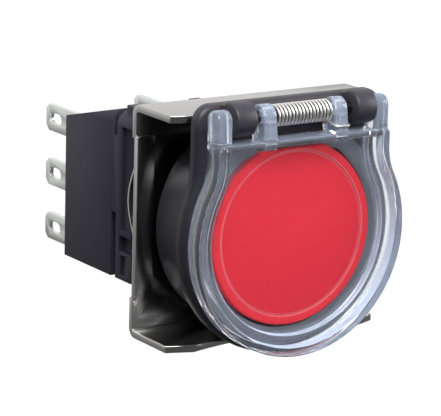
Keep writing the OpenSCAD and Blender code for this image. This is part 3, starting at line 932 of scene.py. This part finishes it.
@dataclass
class FrontBezel(Assembly):
    """The black front moulding: flange, neck, barrel and the hinge's knuckles."""

    outline: NeckOutline = NeckOutline(12.05, 10.65, 13.2, 1.8, 12.0)
    flange_front: float = -1.2
    edge: float = 0.55
    bore: float = 9.25
    bore_flat: float = 8.55
    bore_floor: float = 5.2
    barrel: float = 10.4
    barrel_end: float = 6.2
    floor_hole: float = 7.55
    groove: float = 11.55
    groove_depth: float = 0.4
    hinge: Point2 = (-2.52, 11.93)
    knuckle: float = 1.65
    knuckle_from: float = 5.75
    knuckle_to: float = 8.05
    knuckle_edge: float = 0.22

    def bore_points(self, radius: float, flat: float) -> list[Point2]:
        """The D-shaped bore, with one point for each point of the outline."""
        ring = []
        for x, z in self.outline.points():
            away = math.hypot(x, z)
            reach = min(radius, flat * away / z) if z > 0 else radius
            ring.append((x / away * reach, z / away * reach))
        return ring

    def round_points(self, radius: float) -> list[Point2]:
        """A circle, with one point for each point of the outline."""
        return [
            (x / math.hypot(x, z) * radius, z / math.hypot(x, z) * radius)
            for x, z in self.outline.points()
        ]

    def shell(self) -> bpy.types.Object:
        """The flange and barrel as one closed loft from the bore's mouth round to its floor."""
        sections = [
            Section(self.bore_points(self.bore, self.bore_flat), self.bore_floor),
            Section(self.bore_points(self.bore, self.bore_flat), self.flange_front + 0.15),
            Section(self.bore_points(self.bore + 0.15, self.bore_flat + 0.15), self.flange_front),
        ]
        for inset, y in rounding(self.edge, self.flange_front + self.edge, self.edge, 270, 180, 5):
            sections.append(Section(self.outline.inset(inset).points(), y))
        back = self.outline
        sections += [
            Section(back.points(), -0.12),
            Section(back.inset(0.12).points(), 0.0),
            Section(self.round_points(self.groove), 0.0),
            Section(self.round_points(self.groove), -self.groove_depth),
            Section(self.round_points(self.barrel), -self.groove_depth),
            Section(self.round_points(self.barrel), self.barrel_end - 0.2),
            Section(self.round_points(self.barrel - 0.2), self.barrel_end),
            Section(self.round_points(self.floor_hole), self.barrel_end),
            Section(self.round_points(self.floor_hole), self.bore_floor),
        ]
        return loft("front_bezel_shell", sections, closed=True)

    def knuckle_block(self, side: int) -> bpy.types.Object:
        """One knuckle: a rod on the hinge axis that runs back into the neck.

        Args:
            side: 1 at the right, -1 at the left.

        Returns:
            The block.
        """
        y, z = self.hinge
        profile = arc((y, z), self.knuckle, 62, 300, 34) + [
            (self.flange_front + 0.7, z - self.knuckle * 0.86),
            (self.flange_front + 0.7, self.outline.top - 0.12),
        ]
        low, high = sorted((side * self.knuckle_from, side * self.knuckle_to))
        return prism("knuckle", profile, low, high, self.knuckle_edge)

    def build(self) -> None:
        """Builds the bezel and dresses it."""
        bezel = self.shell()
        for side in (-1, 1):
            combine(bezel, self.knuckle_block(side), "UNION")
        settle(bezel)
        bezel.name = "front_bezel_moulding"
        self.keep(bezel, Body.SWITCH, "bezel_plastic", BEZEL_BLACK.material(), "front_bezel")


@dataclass
class ClearLid(Assembly):
    """The clear flip cover: a hollow rim round a window, ears and lugs on the hinge."""

    outline: NeckOutline = NeckOutline(11.8, 9.85, 9.75, 0.5, 6.0)
    front: float = -3.9
    back: float = -1.5
    edge: float = 0.2
    back_edge: float = 0.55
    rim: float = 0.95
    ledge: float = 1.95
    recess: float = 1.7
    ledge_front: float = -3.0
    window_front: float = -2.4
    window_back: float = -2.0
    window_top: float = 9.15
    core_wall: float = 0.55
    core: float = 0.65
    core_front: float = -2.2
    hinge: Point2 = (-2.52, 11.93)
    hole: float = 0.65
    ear: float = 1.05
    ear_from: float = 8.15
    ear_to: float = 9.84
    ear_edge: float = 0.32
    lug: float = 1.2
    lug_from: float = 3.35
    lug_to: float = 4.8
    lug_edge: float = 0.17
    foot_front: float = -4.0

    def rim_solid(self) -> bpy.types.Object:
        """The rim and window as one loft from the window's front round to its back."""
        top, low = self.outline.top, self.window_top
        crease, fine = 0.06, 0.12
        rows: list[tuple[float, float, float]] = [
            (self.ledge + crease, low, self.window_front),
            (self.ledge, low, self.window_front - crease),
            (self.ledge, low, self.ledge_front + crease),
            (self.ledge - crease, low, self.ledge_front),
            (self.rim + crease, low + 0.02, self.ledge_front),
            (self.rim, low + 0.02, self.ledge_front - crease),
        ]
        rows += [
            (inset, low + (self.rim - inset) * 0.5, y)
            for inset, y in rounding(self.rim - fine, self.front + fine, fine, 0, -90, 3)
        ]
        for edge, centre, start in (
            (self.edge, self.front + self.edge, 270),
            (self.back_edge, self.back - self.back_edge, 180),
        ):
            rows += [
                (inset, top - 0.4 * inset, y)
                for inset, y in rounding(edge, centre, edge, start, start - 90, 5)
            ]
        rows += [
            (self.core_wall + crease, low + 0.05, self.back),
            (self.core_wall + 2 * crease, low, self.back - crease),
            (self.core_wall + 2 * crease, low, self.core_front),
            (self.core_wall + self.core, low - 0.1, self.core_front),
            (self.core_wall + self.core, low - 0.1, self.back),
            (self.recess, low - 0.12, self.back),
            (self.recess, low - 0.12, self.window_back),
        ]
        sections = [Section(self.outline.inset(i, t).points(), y) for i, t, y in rows]
        return loft("clear_lid_rim", sections)

    def ear_profile(self) -> list[Point2]:
        """The side view of an ear: a round on the hinge axis and a shank down into the rim."""
        top, bottom = self.outline.top, self.window_top - 0.25
        front, back = self.front + 0.3, self.back - 0.1
        shank = [(front, top), (front, bottom), (back, bottom), (back, top)]
        return arc(self.hinge, self.ear, 0, 180, 24) + shank

    def lug_profile(self) -> list[Point2]:
        """The side view of a lug: a round on the hinge axis and a foot in front of the bar."""
        top, low = self.outline.top, self.window_top
        sole, heel = self.window_front + 0.15, self.back - 0.15
        return arc(self.hinge, self.lug, 0, 180, 24) + [
            (self.foot_front, top + 0.2),
            (self.foot_front, low - 0.2),
            (sole, low - 0.6),
            (sole, low + 0.25),
            (heel, low + 0.25),
            (heel, top + 0.1),
        ]

    def build(self) -> None:
        """Builds the lid and dresses it."""
        lid = self.rim_solid()
        for side in (-1, 1):
            low, high = sorted((side * self.ear_from, side * self.ear_to))
            combine(lid, prism("ear", self.ear_profile(), low, high, self.ear_edge), "UNION")
            low, high = sorted((side * self.lug_from, side * self.lug_to))
            combine(lid, prism("lug", self.lug_profile(), low, high, self.lug_edge), "UNION")
        y, z = self.hinge
        deselect()
        bpy.ops.mesh.primitive_cylinder_add(
            vertices=40,
            radius=self.hole * MM,
            depth=2.2 * self.lug_to * MM,
            location=(0, y * MM, z * MM),
            rotation=(0, math.pi / 2, 0),
        )
        combine(lid, named("hinge_hole"), "DIFFERENCE")
        settle(lid, 30)
        lid.name = "clear_lid_moulding"
        self.keep(lid, Body.LID, "clear_plastic", CLEAR.material(), "clear_lid")


@dataclass
class RoundWire:
    """A bent round wire."""

    diameter: float
    sides: int = 10

    def bend(self, name: str, points: Sequence[Vector]) -> bpy.types.Object:
        """Runs the wire through points.

        Args:
            name: the piece's name.
            points: the wire's centre line in millimetres.

        Returns:
            The wire as a mesh.
        """
        data = bpy.data.curves.new(name, "CURVE")
        data.dimensions = "3D"
        data.bevel_depth = self.diameter / 2 * MM
        data.bevel_resolution = max(1, self.sides // 4)
        data.use_fill_caps = True
        spline = data.splines.new("POLY")
        spline.points.add(len(points) - 1)
        for slot, point in zip(spline.points, points):
            slot.co = (*(point * MM), 1.0)
        piece = bpy.data.objects.new(name, data)
        bpy.context.scene.collection.objects.link(piece)
        take(piece)
        bpy.ops.object.convert(target="MESH")
        return settle(bpy.context.active_object, 60)


@dataclass
class LidSpring(Assembly):
    """The torsion spring on the hinge pin, with one leg on the bezel and one on the lid."""

    hinge: Point2 = (-2.52, 11.93)
    mean: float = 0.975
    wire: float = 0.235
    half: float = 3.12
    turns: float = 15.75
    steps: int = 28
    rest: float = -1.38
    leg: float = -4.175
    leg_drop: float = 1.38

    def build(self) -> None:
        """Builds the spring and dresses it."""
        y, z = self.hinge
        count = int(self.turns * self.steps)
        coil = []
        for i in range(count + 1):
            turn = 2 * math.pi * i / self.steps
            x = self.half * (2 * i / count - 1)
            coil.append(Vector((x, y + self.mean * math.cos(turn), z + self.mean * math.sin(turn))))
        left, right = -self.half - 0.04, self.half + 0.04
        rest = [Vector((left, self.rest, z - 1.9)), Vector((left, self.rest, z - 0.6))]
        leg = [
            Vector((right, y - 0.5, z - self.mean - 0.13)),
            Vector((right + 0.06, self.leg + 0.15, z - self.leg_drop + 0.05)),
            Vector((right + 0.31, self.leg, z - self.leg_drop)),
            Vector((right + 1.51, self.leg, z - self.leg_drop)),
        ]
        spring = RoundWire(self.wire, 12).bend("lid_spring_wire", rest + coil + leg)
        self.keep(spring, Body.SWITCH, "spring_steel", WIRE_STEEL.material(), "lid_spring")


@dataclass
class RedButton(Assembly):
    """The red cap with its face disc."""

    radius: float = 9.1
    flat: float = 8.4
    front: float = -1.8
    back: float = 2.6
    skirt: float = 0.95
    hollow_front: float = -0.3
    edge: float = 0.3
    face: float = 8.1
    face_gap: float = 0.03
    face_front: float = -1.68
    face_depth: float = 0.8

    def ring(self, radius: float, flat: float | None, count: int = 160) -> list[Point2]:
        """A circle, or a circle cut by a flat across its top."""
        points = arc((0, 0), radius, 0, 360 * (count - 1) / count, count - 1)
        return [(x, z if flat is None else min(z, flat)) for x, z in points]

    def cap(self) -> bpy.types.Object:
        """The cap: a skirt with a rounded front edge and a shallow well for the disc."""
        rows: list[tuple[float, float | None, float]] = [
            (self.radius - self.skirt, self.flat - self.skirt, self.hollow_front),
            (self.radius - self.skirt, self.flat - self.skirt, self.back),
            (self.radius, self.flat, self.back),
        ]
        rows += [
            (self.radius - inset, self.flat - inset, y)
            for inset, y in rounding(self.edge, self.front + self.edge, self.edge, 180, 270, 5)
        ]
        well = self.face + self.face_gap
        rows += [
            (well + 0.06, None, self.front),
            (well, None, self.front + 0.06),
            (well, None, self.face_front + self.face_depth),
        ]
        return loft("button_cap_shell", [Section(self.ring(r, f), y) for r, f, y in rows])

    def disc(self) -> bpy.types.Object:
        """The face disc, a flat plate with a fine rounded edge."""
        rows = [
            (self.face, self.face_front + self.face_depth - 0.02),
            (self.face, self.face_front + 0.08),
            (self.face - 0.03, self.face_front + 0.03),
            (self.face - 0.1, self.face_front),
        ]
        return loft("button_face_disc", [Section(self.ring(r, None), y) for r, y in rows])

    def build(self) -> None:
        """Builds the cap and its disc and dresses them."""
        self.keep(self.cap(), Body.BUTTON, "red_plastic", CAP_RED.material(), "button_cap")
        self.keep(self.disc(), Body.BUTTON, "red_face_plastic", FACE_RED.material(), "button_face")
        self.dress("plunger", Body.BUTTON, "white_plastic", NATURAL_ACETAL.material(), 0.1)
        self.dress("pusher_plate", Body.BUTTON, "inner_plastic", INNER_BLACK.material(), 0.1)
        self.dress("plunger_clip", Body.BUTTON, "spring_steel", WIRE_STEEL.material(), 0.04)


@dataclass
class PanelClamp(Assembly):
    """The stainless bracket, the bow spring behind it, the operator body and the gasket."""

    bow_span: Point2 = (7.9, 10.06)
    bow_travel: float = 1.7
    coil_span: Point2 = (0.8, 9.5)
    press_travel: float = 2.5

    def build(self) -> None:
        """Dresses the clamping parts."""
        self.dress("mounting_bracket", Body.BRACKET, "bracket_steel", SHEET_STEEL.material(), 0.06)
        bow = self.dress("bow_spring", Body.SWITCH, "strip_steel", STRIP_STEEL.material(), 0.0)
        self.shorten(bow, "bracket_slide", self.bow_span, self.bow_travel)
        self.dress("operator_body", Body.SWITCH, "inner_plastic", INNER_BLACK.material(), 0.12)
        self.dress("panel_gasket", Body.SWITCH, "gasket_rubber", GASKET_RUBBER.material(), 0.05)
        self.dress("hinge_pin", Body.SWITCH, "pin_steel", PIN_STEEL.material(), 0.1)
        coil = self.dress("return_spring", Body.SWITCH, "spring_steel", WIRE_STEEL.material(), 0.0)
        self.shorten(coil, "button_press", self.coil_span, self.press_travel)


@dataclass
class ContactBlock(Assembly):
    """The adapter and the two contact units with their sliders, blades and terminals."""

    spring_span: Point2 = (21.85, 27.7)
    travel: float = 2.5

    def build(self) -> None:
        """Dresses the contact block."""
        black, acetal = UNIT_BLACK.material(), NATURAL_ACETAL.material()
        bronze, tin = CONTACT_BRONZE.material(), TINNED_BRASS.material()
        steel = WIRE_STEEL.material()
        self.dress("adapter", Body.SWITCH, "carrier_plastic", CARRIER_BLACK.material(), 0.25)
        for side, contact in (("left", Body.LEFT_CONTACT), ("right", Body.RIGHT_CONTACT)):
            self.dress(f"{side}_base", Body.SWITCH, "base_plastic", black, 0.12)
            self.dress(f"{side}_cover", Body.SWITCH, "cover_plastic", black, 0.2)
            self.dress(f"{side}_slider", contact, "white_plastic", acetal, 0.05)
            self.dress(f"{side}_blade", contact, "contact_brass", bronze, 0.0)
            coil = self.dress(f"{side}_slider_spring", Body.SWITCH, "spring_steel", steel, 0.0)
            self.shorten(coil, f"{side}_contact_slide", self.spring_span, self.travel)
            for row in ("top", "middle", "bottom"):
                self.dress(f"{side}_terminal_{row}", Body.SWITCH, "terminal_metal", tin, 0.06)


# ---------------------------------------------------------------------------
# Studio
# ---------------------------------------------------------------------------


@dataclass
class Studio:
    """The camera, a plain pale floor and soft light."""

    camera_place: tuple[float, float, float] = (-146.84, -210.91, 64.81)
    camera_turn: tuple[float, float, float] = (76.105, -1.460, -32.995)
    lens: float = 224.24
    shift: Point2 = (0.0201, 0.0140)
    floor: float = -45.0
    front_light: float = 0.05
    back_light: float = 0.85
    up_share: float = 0.7
    world_fade: Point2 = (-0.1, 1.0)
    floor_fade: Point2 = (-100, 400)
    floor_rise: float = 0.5
    white: float = 1.02

    def camera(self) -> None:
        """Sets the camera at the viewing angle."""
        data = bpy.data.cameras.new("camera")
        data.lens, data.sensor_width = self.lens, 36.0
        data.shift_x, data.shift_y = self.shift
        data.clip_start, data.clip_end = 0.01, 50.0
        camera = bpy.data.objects.new("camera", data)
        camera.location = Vector(self.camera_place) * MM
        camera.rotation_euler = Euler([math.radians(a) for a in self.camera_turn])
        bpy.context.scene.collection.objects.link(camera)
        bpy.context.scene.camera = camera

    def lamp(self, name: str, place: tuple[float, float, float], size: float, power: float) -> None:
        """Adds a soft square lamp that faces the object.

        Args:
            name: its name.
            place: where it stands, in millimetres.
            size: its side in millimetres.
            power: its power in watts.
        """
        data = bpy.data.lights.new(name, "AREA")
        data.shape, data.size, data.energy = "SQUARE", size * MM, power
        lamp = bpy.data.objects.new(name, data)
        lamp.location = Vector(place) * MM
        lamp.rotation_euler = (-lamp.location).to_track_quat("-Z", "Y").to_euler()
        bpy.context.scene.collection.objects.link(lamp)

    def surroundings(self) -> None:
        """White to the camera, and darker in front of the object, where only reflections see it."""
        world = bpy.data.worlds.new("studio")
        world.use_nodes = True
        tree = world.node_tree
        place = tree.nodes.new("ShaderNodeTexCoord")
        split = tree.nodes.new("ShaderNodeSeparateXYZ")
        tree.links.new(place.outputs["Generated"], split.inputs[0])
        lean = tree.nodes.new("ShaderNodeMath")
        lean.operation = "MULTIPLY_ADD"
        lean.inputs[1].default_value = self.up_share
        tree.links.new(split.outputs["Z"], lean.inputs[0])
        tree.links.new(split.outputs["Y"], lean.inputs[2])
        glow = tree.nodes.new("ShaderNodeMapRange")
        limits = (*self.world_fade, self.front_light, self.back_light)
        for socket, limit in zip(("From Min", "From Max", "To Min", "To Max"), limits):
            glow.inputs[socket].default_value = limit
        tree.links.new(lean.outputs[0], glow.inputs["Value"])
        sky = tree.nodes["Background"]
        tree.links.new(self.seen_or(tree, glow.outputs[0]), sky.inputs["Strength"])
        sky.inputs["Color"].default_value = (1, 1, 1, 1)
        bpy.context.scene.world = world

    def seen_or(
        self, tree: bpy.types.NodeTree, other: bpy.types.NodeSocket
    ) -> bpy.types.NodeSocket:
        """Full white where the camera looks, also through clear plastic; another value elsewhere.

        Light that was reflected once inside the plastic doesn't count as seen through it, or the
        window would show a white veil.

        Args:
            tree: the node tree.
            other: the value for reflections and bounced light.

        Returns:
            The brightness.
        """
        path = tree.nodes.new("ShaderNodeLightPath")
        either = tree.nodes.new("ShaderNodeMath")
        either.operation = "MAXIMUM"
        tree.links.new(path.outputs["Is Camera Ray"], either.inputs[0])
        tree.links.new(path.outputs["Is Transmission Ray"], either.inputs[1])
        once = tree.nodes.new("ShaderNodeMath")
        once.operation = "COMPARE"
        tree.links.new(path.outputs["Glossy Depth"], once.inputs[0])
        once.inputs[1].default_value = 1.0
        once.inputs[2].default_value = 0.1
        both = tree.nodes.new("ShaderNodeMath")
        both.operation = "SUBTRACT"
        both.use_clamp = True
        tree.links.new(either.outputs[0], both.inputs[0])
        tree.links.new(once.outputs[0], both.inputs[1])
        mixed = tree.nodes.new("ShaderNodeMix")
        tree.links.new(both.outputs[0], mixed.inputs[0])
        tree.links.new(other, mixed.inputs[2])
        mixed.inputs[3].default_value = self.white
        return mixed.outputs[0]

    def pale_floor(self) -> None:
        """A plain pale floor that gives the object little light from the front."""
        deselect()
        bpy.ops.mesh.primitive_plane_add(size=8.0, location=(0, 0, self.floor * MM))
        floor = named("studio_floor")
        pale = Paint("pale floor")
        away = pale.axis(Axis.Y).ramp(*self.floor_fade) * self.floor_rise + self.front_light
        seen = Value(pale, self.seen_or(pale.tree, away.socket))
        glow = pale.blend(seen, (0.0, 0.0, 0.0), (1.0, 1.0, 1.0))
        pale.set(
            base_color=(0.0, 0.0, 0.0, 1.0),
            roughness=1.0,
            emission_color=glow,
            emission_strength=1.0,
        )
        floor.data.materials.append(pale.material)

    def build(self) -> None:
        """Builds the studio."""
        bpy.context.scene.view_settings.view_transform = "Standard"
        self.surroundings()
        self.pale_floor()
        self.lamp("key", place=(-120, -260, 320), size=260, power=2.3)
        self.lamp("side", place=(320, -160, 120), size=220, power=0.9)
        self.camera()


def main() -> None:
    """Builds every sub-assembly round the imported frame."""
    logging.basicConfig(level=logging.INFO, format="%(message)s")
    FRAME.update(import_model())
    Studio().build()
    assemblies = (
        FrontBezel(),
        ClearLid(),
        LidSpring(),
        RedButton(),
        PanelClamp(),
        ContactBlock(),
    )
    for assembly in assemblies:
        assembly.build()
        LOG.info("%s: %d pieces", type(assembly).__name__, len(assembly.made))


if __name__ == "__main__":
    main()
